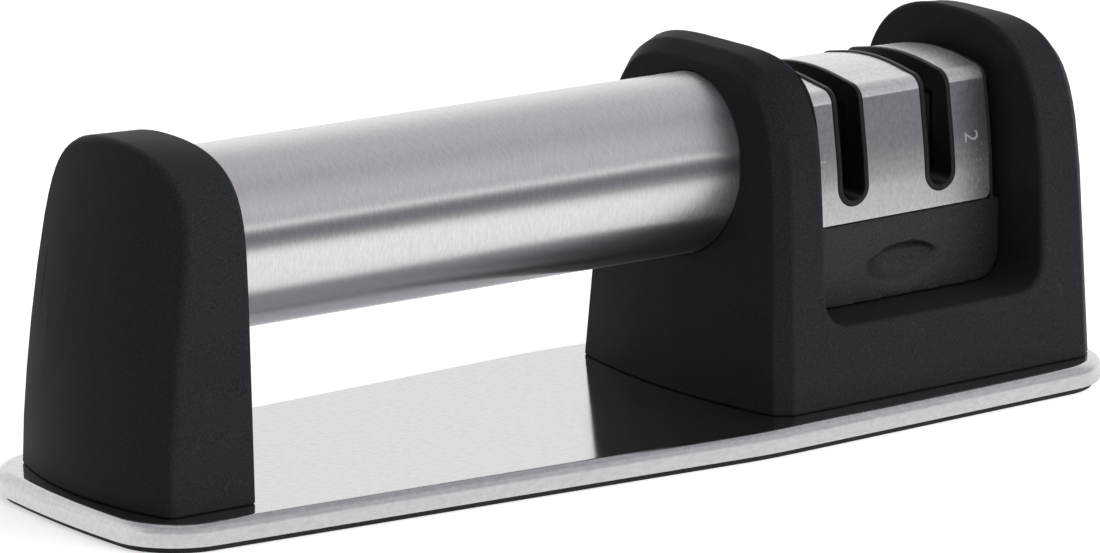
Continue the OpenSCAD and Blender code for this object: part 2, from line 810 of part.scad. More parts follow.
// Round ceramic rod, tilted across the slot
module ceramic_rod(side, gap) {
    y = side * (ceramic_d / 2 + fit_gap);
    translate([fine_x, y, cross_z]) rotate([0, side * ceramic_tilt, 0]) translate([0, 0, -blade_down - gap])
        cylinder(d = ceramic_d + 2 * gap, h = blade_up + blade_down + 2 * gap, $fn = 48);
}

module carbide_holder() color([0.35, 0.12, 0.1]) {
    difference() {
        holder_block(coarse_x);
        for (side = [-1, 1]) carbide_blade(side, fit_gap);
    }
}

module carbide_blade_front() color([0.45, 0.46, 0.48]) carbide_blade(-1, 0);

module carbide_blade_back() color([0.45, 0.46, 0.48]) carbide_blade(1, 0);

module ceramic_holder() color([0.75, 0.76, 0.78]) {
    difference() {
        holder_block(fine_x);
        for (side = [-1, 1]) ceramic_rod(side, fit_gap);
    }
}

module ceramic_rod_front() color([0.93, 0.93, 0.9]) ceramic_rod(-1, 0);

module ceramic_rod_back() color([0.93, 0.93, 0.9]) ceramic_rod(1, 0);

base_plate();
base_core();
anti_slip_pad();
rear_support();
rear_screws();
head_housing();
head_screws();
handle_tube();
tube_plug_rear();
tube_plug_front();
tie_rod();
tie_rod_nut();
cartridge_grip();
cartridge_core();
cartridge_cover();
cartridge_screws();
slot_liner_coarse();
slot_liner_fine();
carbide_holder();
carbide_blade_front();
carbide_blade_back();
ceramic_holder();
ceramic_rod_front();
ceramic_rod_back();
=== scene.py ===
"""Dresses the pull through knife sharpener: soft-touch supports, brushed steel, cartridge and studio."""
import math

import bmesh
import bpy
from bpy.props import FloatProperty, FloatVectorProperty, IntProperty, PointerProperty
from mathutils import Matrix, Vector
from mathutils.bvhtree import BVHTree


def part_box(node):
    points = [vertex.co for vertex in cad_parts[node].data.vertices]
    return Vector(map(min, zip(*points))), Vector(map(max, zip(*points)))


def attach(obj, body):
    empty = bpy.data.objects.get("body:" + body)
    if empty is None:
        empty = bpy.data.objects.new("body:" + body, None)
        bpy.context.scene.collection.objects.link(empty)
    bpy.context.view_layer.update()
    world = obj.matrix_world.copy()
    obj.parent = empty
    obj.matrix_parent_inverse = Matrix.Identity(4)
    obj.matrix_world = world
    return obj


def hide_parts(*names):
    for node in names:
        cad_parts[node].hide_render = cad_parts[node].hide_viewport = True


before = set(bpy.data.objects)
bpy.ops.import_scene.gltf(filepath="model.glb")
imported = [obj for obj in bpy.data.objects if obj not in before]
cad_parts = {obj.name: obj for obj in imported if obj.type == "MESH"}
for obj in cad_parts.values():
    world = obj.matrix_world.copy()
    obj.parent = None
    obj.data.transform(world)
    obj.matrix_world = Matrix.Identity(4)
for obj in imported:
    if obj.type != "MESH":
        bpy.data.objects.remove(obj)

bl_info = {
    "name": "Pull through knife sharpener",
    "version": (1, 0, 0),
    "blender": (4, 5, 0),
    "location": "3D View > Sidebar > Sharpener",
    "description": "Dresses the sharpener's frame with finished pieces, materials and a studio",
    "category": "Object",
}

MM = 0.001


# Settings that a user would change

def colour_property(label, text, value):
    return FloatVectorProperty(
        name=label, description=text, default=value, min=0, max=1, size=3, subtype="COLOR"
    )


def length_property(label, text, value, low, high):
    return FloatProperty(
        name=label, description=text, default=value, min=low, max=high,
        subtype="DISTANCE", unit="LENGTH", precision=5,
    )


def share_property(label, text, value):
    return FloatProperty(name=label, description=text, default=value, min=0, max=1, subtype="FACTOR")


def count_property(label, text, value, low, high):
    return IntProperty(name=label, description=text, default=value, min=low, max=high)


class SharpenerShapes(bpy.types.PropertyGroup):
    """Sizes of the finished pieces"""

    support_edge: length_property(
        "Support edge", "Rounding of the outer edges of both supports", 0.4 * MM, 0.1 * MM, 0.6 * MM
    )
    recess_edge: length_property(
        "Recess edge", "Rounding of the rim of the recess", 1.0 * MM, 0.1 * MM, 1.6 * MM
    )
    grip_grid: length_property(
        "Grip grid", "Spacing of the mesh of the grip", 0.3 * MM, 0.25 * MM, 1 * MM
    )
    grip_passes: count_property(
        "Grip softening", "How often the grip's edges are smoothed", 4, 0, 30
    )
    scoop_passes: count_property(
        "Scoop softening", "How often the thumb scoops are smoothed", 60, 0, 200
    )
    tube_segments: count_property(
        "Tube segments", "Faces round the handle tube", 160, 32, 512
    )
    tube_chamfer: length_property(
        "Tube chamfer", "Chamfer at both ends of the tube", 0.3 * MM, 0.05 * MM, 0.45 * MM
    )
    plate_bend: length_property(
        "Plate bend", "Outer radius of the bend round the steel plate", 1.6 * MM, 0.8 * MM, 3 * MM
    )
    sheet_edge: length_property(
        "Sheet edge", "Rounding of the edges of bent steel", 0.12 * MM, 0.02 * MM, 0.3 * MM
    )
    liner_edge: length_property(
        "Liner edge", "Rounding of the edges of the slot liners", 0.24 * MM, 0.05 * MM, 0.4 * MM
    )
    small_edge: length_property(
        "Small edge", "Rounding of the edges of small pieces and the pad", 0.15 * MM, 0.05 * MM, 0.4 * MM
    )
    numeral_height: length_property(
        "Numeral height", "Height of the stage numerals", 3 * MM, 2 * MM, 6 * MM
    )


class SharpenerFinishes(bpy.types.PropertyGroup):
    """Colours and finishes"""

    plate_steel: colour_property("Plate steel", "Colour of the base plate", (0.642, 0.645, 0.66))
    tube_steel: colour_property("Tube steel", "Colour of the handle tube", (0.75, 0.74, 0.755))
    cover_steel: colour_property("Cover steel", "Colour of the cartridge's cover", (0.765, 0.762, 0.772))
    screw_steel: colour_property("Screw steel", "Colour of screws, rod and nut", (0.56, 0.56, 0.58))
    etched_steel: colour_property("Etched steel", "Colour of the etched numerals", (0.25, 0.25, 0.26))
    support_plastic: colour_property(
        "Support plastic", "Colour of the soft-touch supports", (0.0165, 0.0172, 0.0205)
    )
    cartridge_plastic: colour_property(
        "Cartridge plastic", "Colour of the grip and the core", (0.0195, 0.0200, 0.0225)
    )
    liner_plastic: colour_property("Liner plastic", "Colour of the slot liners", (0.008, 0.008, 0.0085))
    pad_rubber: colour_property("Pad rubber", "Colour of the anti-slip pad", (0.013, 0.013, 0.014))
    carbide: colour_property("Carbide", "Colour of the carbide blades", (0.3, 0.31, 0.33))
    ceramic: colour_property("Ceramic", "Colour of the ceramic rods", (0.83, 0.81, 0.76))
    skirt_roughness: share_property(
        "Skirt roughness", "How much rougher the plate's bend and skirt are", 0.17
    )
    streak_depth: share_property("Streak depth", "How strongly the brushing shows in the steel", 0.5)


class SharpenerStage(bpy.types.PropertyGroup):
    """Floor, light and camera"""

    floor_colour: colour_property("Floor", "Colour of the floor", (0.85, 0.85, 0.85))
    floor_glow: share_property("Floor glow", "White that the floor adds where the camera sees it", 0.46)
    floor_radius: length_property("Floor radius", "Radius of the round floor", 0.9, 0.3, 5)
    sky_level: share_property("Room light", "Level of the even light", 0.7)
    side_light: share_property(
        "Light from the head's end", "How much the even light leans to that side", 0.68
    )
    front_light: share_property(
        "Light from the front", "How much the even light leans to the front", 0.4
    )
    top_light: share_property("Light from above", "How much the even light leans upwards", 0.2)
    bounce_kept: share_property(
        "Steel bounce", "Share of the light that the steel throws onto the plastic", 0.65
    )
    key_power: FloatProperty(
        name="Key lamp", description="Power of the large soft lamp", default=7.2, min=0, max=200,
        unit="POWER",
    )
    key_size: length_property("Key lamp size", "Diameter of the large soft lamp", 1.0, 0.2, 3)
    lens: FloatProperty(
        name="Lens", description="Focal length of the camera in millimetres", default=232.04,
        min=20, max=600, unit="CAMERA",
    )


def shapes():
    return bpy.context.scene.sharpener_shapes


def finishes():
    return bpy.context.scene.sharpener_finishes


def stage_settings():
    return bpy.context.scene.sharpener_stage


# Helpers for meshes

def new_piece(name, bm, recalculate=False):
    """Turns a bmesh into a piece in the scene"""
    if recalculate:
        bmesh.ops.recalc_face_normals(bm, faces=bm.faces)
    mesh = bpy.data.meshes.new(name)
    bm.to_mesh(mesh)
    bm.free()
    mesh.shade_smooth()
    piece = bpy.data.objects.new(name, mesh)
    bpy.context.scene.collection.objects.link(piece)
    return piece


def joined_mesh(node, flat_angle):
    """Mesh of a CAD node whose loose triangles are joined, with its flat parts made one face each"""
    bm = bmesh.new()
    bm.from_mesh(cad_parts[node].data)
    bmesh.ops.remove_doubles(bm, verts=bm.verts, dist=0.0005 * MM)
    if flat_angle:
        bmesh.ops.dissolve_limit(
            bm, angle_limit=math.radians(flat_angle), verts=bm.verts, edges=bm.edges
        )
    return bm


def clear_shading(piece):
    """Drops the shading marks that came with a CAD node"""
    for layer in ("custom_normal", "sharp_edge", "sharp_face"):
        if layer in piece.data.attributes:
            piece.data.attributes.remove(piece.data.attributes[layer])
    piece.data.materials.clear()


def copy_of(node, flat_angle=0.2):
    """Piece with the CAD node's shape, and its name with a capital"""
    piece = new_piece(node.capitalize(), joined_mesh(node, flat_angle))
    clear_shading(piece)
    return piece


def apply_modifiers(piece):
    """Gives the piece the mesh that its modifiers make, and takes them off"""
    bpy.context.view_layer.update()
    graph = bpy.context.evaluated_depsgraph_get()
    made = bpy.data.meshes.new_from_object(piece.evaluated_get(graph), depsgraph=graph)
    made.name = piece.name
    piece.modifiers.clear()
    piece.data = made


def weigh_normals(piece):
    """Joins points that the rounding brought together, and keeps flat faces flat beside soft edges"""
    weld = piece.modifiers.new("Joined points", "WELD")
    weld.merge_threshold = 0.001 * MM
    normals = piece.modifiers.new("Flat faces", "WEIGHTED_NORMAL")
    normals.keep_sharp = True
    normals.weight = 60


def round_edges(piece, width, segments=2):
    """Rounds the sharp edges and keeps the flat faces flat"""
    sharp_angle = 35
    bevel = piece.modifiers.new("Edges", "BEVEL")
    bevel.width = width
    bevel.segments = segments
    bevel.limit_method = "ANGLE"
    bevel.angle_limit = math.radians(sharp_angle)
    weigh_normals(piece)
    apply_modifiers(piece)


def outside_edges(bm, reach, sharp_angle):
    """Sharp edges close to the outside of the shape, which leaves out its pockets, holes and foot"""
    facing_down = -0.9
    wrap = bmesh.new()
    for vert in bm.verts:
        wrap.verts.new(vert.co)
    bmesh.ops.convex_hull(wrap, input=wrap.verts)
    bmesh.ops.delete(wrap, geom=[v for v in wrap.verts if not v.link_faces], context="VERTS")
    bmesh.ops.delete(
        wrap, geom=[f for f in wrap.faces if f.normal.z < facing_down], context="FACES_ONLY"
    )
    outside = BVHTree.FromBMesh(wrap)
    wrap.free()
    found = []
    for edge in bm.edges:
        if edge.is_manifold and edge.calc_face_angle() > math.radians(sharp_angle):
            middle = (edge.verts[0].co + edge.verts[1].co) / 2
            if outside.find_nearest(middle)[3] < reach:
                found.append(edge)
    return found


def bevel_edges(bm, edges, width, segments):
    """Rounds the given edges of a mesh"""
    bmesh.ops.bevel(
        bm, geom=edges, offset=width, offset_type="OFFSET", segments=segments, profile=0.5,
        affect="EDGES", clamp_overlap=False, material=-1,
    )


def rounded_support(node):
    """Copy of a support with soft outer edges and, round the recess, a softer rim"""
    flat_angle = 1.5
    sharp_angle = 25
    sliver = 0.08 * MM
    reach = 3.4 * MM
    gap = 0.5 * MM
    foot_height = 1 * MM
    rim_segments = 5
    edge_segments = 3
    bm = joined_mesh(node, flat_angle)
    bmesh.ops.dissolve_degenerate(bm, dist=sliver, edges=bm.edges)
    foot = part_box(node)[0].z
    low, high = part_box("cartridge_grip")

    def on_rim(vert):
        return low.x - gap < vert.co.x < high.x + gap and vert.co.z > foot + foot_height

    outer = outside_edges(bm, reach, sharp_angle)
    rim = [edge for edge in outer if all(on_rim(vert) for vert in edge.verts)]
    if rim:
        bevel_edges(bm, rim, shapes().recess_edge, rim_segments)
    outer = outside_edges(bm, reach, sharp_angle)
    bevel_edges(bm, outer, shapes().support_edge, edge_segments)
    piece = new_piece(node.capitalize(), bm)
    clear_shading(piece)
    weigh_normals(piece)
    apply_modifiers(piece)
    return piece


def even_mesh(piece, grid, passes):
    """Lays an even mesh over the piece and rounds its edges a little"""
    remesh = piece.modifiers.new("Even mesh", "REMESH")
    remesh.mode = "VOXEL"
    remesh.voxel_size = grid
    smooth = piece.modifiers.new("Soft edges", "SMOOTH")
    smooth.factor = 0.5
    smooth.iterations = passes
    apply_modifiers(piece)
    piece.data.shade_smooth()


def soften_scoops(piece, passes):
    """Lets the edges of the thumb scoop on each face of the grip fade out"""
    scoop_shift = 1.8 * MM
    scoop_height = 4.0 * MM
    half_length = 10 * MM
    half_height = 3.2 * MM
    face_start = 12.4 * MM
    low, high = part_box("cartridge_grip")
    middle_x = (low.x + high.x) / 2 + scoop_shift
    middle_z = low.z + scoop_height
    bm = bmesh.new()
    bm.from_mesh(piece.data)
    near = [
        vert for vert in bm.verts
        if abs(vert.co.x - middle_x) < half_length
        and abs(vert.co.z - middle_z) < half_height
        and abs(vert.co.y) > face_start
    ]
    for _ in range(passes):
        bmesh.ops.smooth_vert(
            bm, verts=near, factor=0.5, use_axis_x=True, use_axis_y=True, use_axis_z=True
        )
    bm.to_mesh(piece.data)
    bm.free()
    piece.data.shade_smooth()


def tighten_bend(piece, old_radius, new_radius):
    """Gives the bend round the plate's top a smaller outer radius, with the same outline and height"""
    slack = 0.01 * MM
    least_lean = 0.001
    spare = old_radius - new_radius
    bm = bmesh.new()
    bm.from_mesh(piece.data)
    bm.normal_update()
    top = max(vert.co.z for vert in bm.verts)
    moves = []
    for vert in bm.verts:
        depth = top - vert.co.z
        outward = Vector((vert.normal.x, vert.normal.y, 0))
        lowest = min(edge.other_vert(vert).co.z for edge in vert.link_edges)
        beside_bend = depth > slack or lowest < top - slack
        on_outside = vert.normal.z > least_lean and outward.length > least_lean
        if depth < old_radius + slack and beside_bend and on_outside:
            rise = min(1 - depth / old_radius, 1)
            run = math.sqrt(max(1 - rise * rise, 0))
            lift = Vector((0, 0, spare * (1 - rise)))
            moves.append((vert, spare * (1 - run) * outward.normalized() + lift))
    for vert, move in moves:
        vert.co += move
    bm.to_mesh(piece.data)
    bm.free()


def text_mesh(text, size):
    """Mesh of a flat text in the XY plane, with its middle at the origin"""
    curve = bpy.data.curves.new(f"Numeral {text}", "FONT")
    curve.body = text
    curve.size = size
    curve.align_x = "CENTER"
    curve.align_y = "CENTER"
    drawn = bpy.data.objects.new(curve.name, curve)
    bpy.context.scene.collection.objects.link(drawn)
    graph = bpy.context.evaluated_depsgraph_get()
    flat = bpy.data.meshes.new_from_object(drawn.evaluated_get(graph), depsgraph=graph)
    bpy.data.objects.remove(drawn)
    bm = bmesh.new()
    bm.from_mesh(flat)
    bpy.data.meshes.remove(flat)
    bmesh.ops.remove_doubles(bm, verts=bm.verts, dist=0.001 * MM)
    bmesh.ops.subdivide_edges(bm, edges=bm.edges, cuts=1)
    return bm


def dress(piece, body, slot, material, *nodes):
    """Paints a new piece, lets it ride on its body and stand for its CAD nodes"""
    piece.data.materials.clear()
    piece.data.materials.append(material)
    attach(piece, body)
    if nodes:
        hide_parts(*nodes)


def rounded_copy(node, width, body, slot, material, segments=2):
    """Copy of a CAD node with rounded edges, which stands for it"""
    piece = copy_of(node)
    round_edges(piece, width, segments)
    dress(piece, body, slot, material, node)


def paint_nodes(material, *nodes):
    """Gives CAD nodes that stay a better material"""
    for node in nodes:
        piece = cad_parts[node]
        if not piece.material_slots:
            piece.data.materials.append(material)
        for place in piece.material_slots:
            place.material = material


# Helpers for materials

def feed(tree, value, socket):
    """Links an output to the socket, or sets the socket's own value"""
    if isinstance(value, bpy.types.NodeSocket):
        tree.links.new(value, socket)
    else:
        socket.default_value = value


def add_node(tree, kind, sockets=None, **settings):
    """New node with its settings, and with a value or a link for each socket that is named"""
    node = tree.nodes.new(kind)
    for key, value in settings.items():
        setattr(node, key, value)
    for label, value in (sockets or {}).items():
        feed(tree, value, node.inputs[label])
    return node


def new_group(name, inputs, outputs):
    """Node group with named inputs, each a name, a kind and a value, and named outputs"""
    tree = bpy.data.node_groups.new(name, "ShaderNodeTree")
    for label, kind, value in inputs:
        socket = tree.interface.new_socket(label, in_out="INPUT", socket_type=kind)
        if value is not None:
            socket.default_value = value
    for label, kind in outputs:
        tree.interface.new_socket(label, in_out="OUTPUT", socket_type=kind)
    start = tree.nodes.new("NodeGroupInput")
    end = tree.nodes.new("NodeGroupOutput")
    return tree, start.outputs, end.inputs


def noise(tree, vector, scale, detail, roughness=0.5):
    """Soft noise that lies round one half"""
    sockets = {"Vector": vector, "Scale": scale, "Detail": detail, "Roughness": roughness}
    return add_node(tree, "ShaderNodeTexNoise", sockets, noise_dimensions="3D").outputs["Fac"]


def ranged(tree, value, low, high, out_low, out_high):
    """Maps a value from one range to another, held inside it"""
    sockets = {"Value": value, "From Min": low, "From Max": high, "To Min": out_low, "To Max": out_high}
    return add_node(tree, "ShaderNodeMapRange", sockets, clamp=True).outputs["Result"]


def calculate(tree, operation, first, second):
    """One sum of two values or outputs"""
    node = add_node(tree, "ShaderNodeMath", {0: first, 1: second}, operation=operation)
    return node.outputs["Value"]


def scaled(tree, colour, share):
    """The colour times a value"""
    node = add_node(tree, "ShaderNodeVectorMath", {0: colour, "Scale": share}, operation="SCALE")
    return node.outputs["Vector"]


def blended(tree, share, first, second):
    """Goes from the first colour to the second as the share goes from 0 to 1"""
    node = add_node(
        tree, "ShaderNodeMix", {"Factor": share, "A": first, "B": second}, data_type="RGBA"
    )
    return node.outputs["Result"]


def brushing_group():
    """Fine streaks of brushed steel: the vector is already stretched along the streaks"""
    if "Brushing" in bpy.data.node_groups:
        return bpy.data.node_groups["Brushing"]
    broad_share = 0.55
    tree, given, wanted = new_group(
        "Brushing",
        [("Vector", "NodeSocketVector", None), ("Depth", "NodeSocketFloat", 0.5)],
        [("Streaks", "NodeSocketFloat"), ("Shade", "NodeSocketFloat"), ("Height", "NodeSocketFloat")],
    )
    fine = noise(tree, given["Vector"], scale=1.0, detail=2.0, roughness=0.6)
    broad = noise(tree, given["Vector"], scale=0.22, detail=2.0)
    broad_part = calculate(tree, "MULTIPLY", broad, broad_share)
    fine_part = calculate(tree, "MULTIPLY", fine, 1 - broad_share)
    streaks = calculate(tree, "ADD", broad_part, fine_part)
    swing = calculate(tree, "SUBTRACT", streaks, 0.5)
    deep = calculate(tree, "MULTIPLY", swing, given["Depth"])
    feed(tree, ranged(tree, streaks, 0.36, 0.64, 0.0, 1.0), wanted["Streaks"])
    feed(tree, calculate(tree, "ADD", deep, 1.0), wanted["Shade"])
    feed(tree, fine, wanted["Height"])
    return tree


def grain_group():
    """Fine moulded grain of matt plastic and rubber"""
    if "Moulded grain" in bpy.data.node_groups:
        return bpy.data.node_groups["Moulded grain"]
    tree, given, wanted = new_group(
        "Moulded grain",
        [("Vector", "NodeSocketVector", None), ("Scale", "NodeSocketFloat", 5000.0)],
        [("Height", "NodeSocketFloat"), ("Mask", "NodeSocketFloat")],
    )
    place = {"Vector": given["Vector"], "Scale": given["Scale"]}
    cells = add_node(tree, "ShaderNodeTexVoronoi", place, feature="SMOOTH_F1")
    specks = noise(tree, given["Vector"], given["Scale"], detail=2.0)
    feed(tree, cells.outputs["Distance"], wanted["Height"])
    feed(tree, ranged(tree, specks, 0.35, 0.65, 0.0, 1.0), wanted["Mask"])
    return tree


def handling_group():
    """Broad soft variation, as from handling and moulding"""
    if "Handling" in bpy.data.node_groups:
        return bpy.data.node_groups["Handling"]
    tree, given, wanted = new_group(
        "Handling",
        [("Vector", "NodeSocketVector", None), ("Scale", "NodeSocketFloat", 60.0)],
        [("Mask", "NodeSocketFloat")],
    )
    clouds = noise(tree, given["Vector"], given["Scale"], detail=3.0, roughness=0.55)
    feed(tree, ranged(tree, clouds, 0.3, 0.7, 0.0, 1.0), wanted["Mask"])
    return tree


def use_group(tree, group, **sockets):
    """Places a node group and gives its outputs"""
    return add_node(tree, "ShaderNodeGroup", sockets, node_tree=group).outputs


def new_material(name):
    """New material with its nodes, its shader and the place on the piece"""
    material = bpy.data.materials.new(name)
    material.use_nodes = True
    tree = material.node_tree
    shader = tree.nodes["Principled BSDF"]
    place = add_node(tree, "ShaderNodeTexCoord").outputs["Object"]
    return material, tree, shader, place


def add_bump(tree, shader, height, strength, distance):
    """Turns a height into the shader's normal"""
    sockets = {"Strength": strength, "Distance": distance, "Height": height}
    feed(tree, add_node(tree, "ShaderNodeBump", sockets).outputs["Normal"], shader.inputs["Normal"])


def brushed_steel(name, colour, stretch, roughness, spread, anisotropy, turn=0.0, depth=1.0):
    """Steel brushed one way: stretch holds the streaks' frequency along X, Y and Z"""
    handling_size = 45.0
    most_worn = 0.02
    groove_strength = 0.35
    groove_depth = 0.003 * MM
    material, tree, shader, place = new_material(name)
    stretched = add_node(tree, "ShaderNodeMapping", {"Vector": place, "Scale": stretch})
    streaks = use_group(
        tree, brushing_group(), Vector=stretched.outputs["Vector"], Depth=finishes().streak_depth * depth
    )
    marks = use_group(tree, handling_group(), Vector=place, Scale=handling_size)
    brushed = ranged(tree, streaks["Streaks"], 0, 1, roughness - spread / 2, roughness + spread / 2)
    worn = calculate(tree, "MULTIPLY", marks["Mask"], most_worn)
    feed(tree, scaled(tree, colour, streaks["Shade"]), shader.inputs["Base Color"])
    feed(tree, calculate(tree, "ADD", brushed, worn), shader.inputs["Roughness"])
    add_bump(tree, shader, streaks["Height"], groove_strength, groove_depth)
    tangent = add_node(tree, "ShaderNodeTangent", direction_type="RADIAL", axis="X")
    feed(tree, tangent.outputs["Tangent"], shader.inputs["Tangent"])
    shader.inputs["Metallic"].default_value = 1.0
    shader.inputs["Anisotropic"].default_value = anisotropy
    shader.inputs["Anisotropic Rotation"].default_value = turn
    return material


def skirted_steel(name, *values, **named):
    """Brushed steel with a coarser satin on the plate's bend and skirt"""
    bend_start = 0.1 * MM
    bend_end = 0.8 * MM
    material = brushed_steel(name, *values, **named)
    tree = material.node_tree
    roughness = tree.nodes["Principled BSDF"].inputs["Roughness"]
    brushed = roughness.links[0].from_socket
    place = add_node(tree, "ShaderNodeTexCoord").outputs["Object"]
    height = add_node(tree, "ShaderNodeSeparateXYZ", {"Vector": place}).outputs["Z"]
    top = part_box("base_plate")[1].z
    coarser = ranged(tree, height, top - bend_end, top - bend_start, finishes().skirt_roughness, 0.0)
    feed(tree, calculate(tree, "ADD", brushed, coarser), roughness)
    return material


def moulded_plastic(name, colour, roughness, specular, grain_scale, grain_depth):
    """Matt or satin plastic with a fine moulded grain"""
    handling_size = 55.0
    grain_contrast = 0.36
    handling_contrast = 0.05
    swing = 0.03
    grain_strength = 0.4
    material, tree, shader, place = new_material(name)
    grain = use_group(tree, grain_group(), Vector=place, Scale=grain_scale)
    marks = use_group(tree, handling_group(), Vector=place, Scale=handling_size)
    speckled = ranged(tree, grain["Mask"], 0, 1, 1 - grain_contrast, 1 + grain_contrast)
    handled = ranged(tree, marks["Mask"], 0, 1, -handling_contrast, handling_contrast)
    shade = calculate(tree, "ADD", speckled, handled)
    rough = ranged(tree, marks["Mask"], 0, 1, roughness - swing, roughness + swing)
    feed(tree, scaled(tree, colour, shade), shader.inputs["Base Color"])
    feed(tree, rough, shader.inputs["Roughness"])
    add_bump(tree, shader, grain["Height"], grain_strength, grain_depth)
    shader.inputs["Specular IOR Level"].default_value = specular
    return material


def cached(make, name, colour, *values, **named):
    """The material of that name, made once"""
    return bpy.data.materials.get(name) or make(name, colour, *values, **named)


def base_steel():
    return cached(
        skirted_steel, "Plate steel", finishes().plate_steel,
        stretch=(3000, 6500, 6500), roughness=0.115, spread=0.02, anisotropy=0.85, depth=1.3,
    )


def tube_steel():
    return cached(
        brushed_steel, "Tube steel", finishes().tube_steel,
        stretch=(15000, 3600, 3600), roughness=0.23, spread=0.02, anisotropy=0.95, turn=0.25,
    )


def cover_steel():
    return cached(
        brushed_steel, "Cover steel", finishes().cover_steel,
        stretch=(9000, 5500, 5500), roughness=0.25, spread=0.02, anisotropy=0.9, turn=0.25, depth=1.5,
    )


def screw_steel():
    return cached(
        brushed_steel, "Screw steel", finishes().screw_steel,
        stretch=(2500, 2500, 2500), roughness=0.34, spread=0.08, anisotropy=0.0,
    )


def carbide_grey():
    return cached(
        brushed_steel, "Carbide", finishes().carbide,
        stretch=(2400, 2400, 700), roughness=0.3, spread=0.06, anisotropy=0.0,
    )


def support_plastic():
    return cached(
        moulded_plastic, "Support plastic", finishes().support_plastic,
        roughness=0.5, specular=0.05, grain_scale=5200.0, grain_depth=0.01 * MM,
    )


def cartridge_plastic():
    return cached(
        moulded_plastic, "Cartridge plastic", finishes().cartridge_plastic,
        roughness=0.42, specular=0.25, grain_scale=3600.0, grain_depth=0.03 * MM,
    )


def liner_plastic():
    return cached(
        moulded_plastic, "Liner plastic", finishes().liner_plastic,
        roughness=0.36, specular=0.3, grain_scale=6000.0, grain_depth=0.006 * MM,
    )


def pad_rubber():
    return cached(
        moulded_plastic, "Pad rubber", finishes().pad_rubber,
        roughness=0.72, specular=0.3, grain_scale=2600.0, grain_depth=0.04 * MM,
    )


def ceramic_white():
    return cached(
        moulded_plastic, "Ceramic", finishes().ceramic,
        roughness=0.4, specular=0.5, grain_scale=7000.0, grain_depth=0.008 * MM,
    )


def etched_steel():
    return cached(
        moulded_plastic, "Etched steel", finishes().etched_steel,
        roughness=0.6, specular=0.5, grain_scale=9000.0, grain_depth=0.01 * MM,
    )


# One operator for each group of like pieces

class SHARPENER_OT_base(bpy.types.Operator):
    """Finish the steel base plate, its core and its rubber pad"""

    bl_idname = "sharpener.base"
    bl_label = "Base"

    def execute(self, context):
        core_gap = 0.1 * MM
        old_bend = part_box("base_plate")[1].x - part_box("base_core")[1].x - core_gap
        plate = copy_of("base_plate")
        tighten_bend(plate, old_bend, shapes().plate_bend)
        round_edges(plate, shapes().sheet_edge)
        dress(plate, "stand", "base_steel", base_steel(), "base_plate")
        rounded_copy("anti_slip_pad", shapes().small_edge, "stand", "pad_rubber", pad_rubber())
        paint_nodes(liner_plastic(), "base_core")
        paint_nodes(screw_steel(), "rear_screws", "head_screws")
        return {"FINISHED"}


class SHARPENER_OT_supports(bpy.types.Operator):
    """Finish the rear support and the head with soft edges and a soft-touch skin"""

    bl_idname = "sharpener.supports"
    bl_label = "Supports"

    def execute(self, context):
        for node in ("rear_support", "head_housing"):
            dress(rounded_support(node), "stand", "support_plastic", support_plastic(), node)
        return {"FINISHED"}


class SHARPENER_OT_handle(bpy.types.Operator):
    """Turn the brushed steel tube of the handle and finish its plugs and tie rod"""

    bl_idname = "sharpener.handle"
    bl_label = "Handle"

    def execute(self, context):
        plug_gap = 0.05 * MM
        sharp_angle = 30
        low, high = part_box("handle_tube")
        plug_low, plug_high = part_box("tube_plug_rear")
        outer_r = (high.z - low.z) / 2
        inner_r = (plug_high.z - plug_low.z) / 2 + plug_gap
        chamfer = shapes().tube_chamfer
        axis_z = (low.z + high.z) / 2
        section = [
            (low.x, inner_r), (low.x, outer_r - chamfer), (low.x + chamfer, outer_r),
            (high.x - chamfer, outer_r), (high.x, outer_r - chamfer), (high.x, inner_r),
        ]
        bm = bmesh.new()
        corners = [bm.verts.new((x, 0, axis_z + r)) for x, r in section]
        edges = [bm.edges.new(pair) for pair in zip(corners, corners[1:] + corners[:1])]
        bmesh.ops.spin(
            bm, geom=corners + edges, cent=(0, 0, axis_z), axis=(1, 0, 0), angle=2 * math.pi,
            steps=shapes().tube_segments, use_merge=True,
        )
        bmesh.ops.remove_doubles(bm, verts=bm.verts, dist=0.001 * MM)
        tube = new_piece("Handle_tube", bm, recalculate=True)
        tube.data.set_sharp_from_angle(angle=math.radians(sharp_angle))
        dress(tube, "stand", "tube_steel", tube_steel(), "handle_tube")
        paint_nodes(liner_plastic(), "tube_plug_rear", "tube_plug_front")
        paint_nodes(screw_steel(), "tie_rod", "tie_rod_nut")
        return {"FINISHED"}


class SHARPENER_OT_cartridge(bpy.types.Operator):
    """Finish the cartridge's grip, core, steel cover and slot liners"""

    bl_idname = "sharpener.cartridge"
    bl_label = "Cartridge"

    def execute(self, context):
        plastic = cartridge_plastic()
        grip = copy_of("cartridge_grip", flat_angle=0)
        even_mesh(grip, shapes().grip_grid, shapes().grip_passes)
        soften_scoops(grip, shapes().scoop_passes)
        dress(grip, "cartridge", "cartridge_plastic", plastic, "cartridge_grip")
        rounded_copy("cartridge_core", shapes().small_edge, "cartridge", "cartridge_plastic", plastic)
        rounded_copy("cartridge_cover", shapes().sheet_edge, "cartridge", "cover_steel", cover_steel())
        edge = shapes().liner_edge
        for node in ("slot_liner_coarse", "slot_liner_fine"):
            rounded_copy(node, edge, "cartridge", "liner_plastic", liner_plastic(), segments=3)
        paint_nodes(screw_steel(), "cartridge_screws")
        return {"FINISHED"}


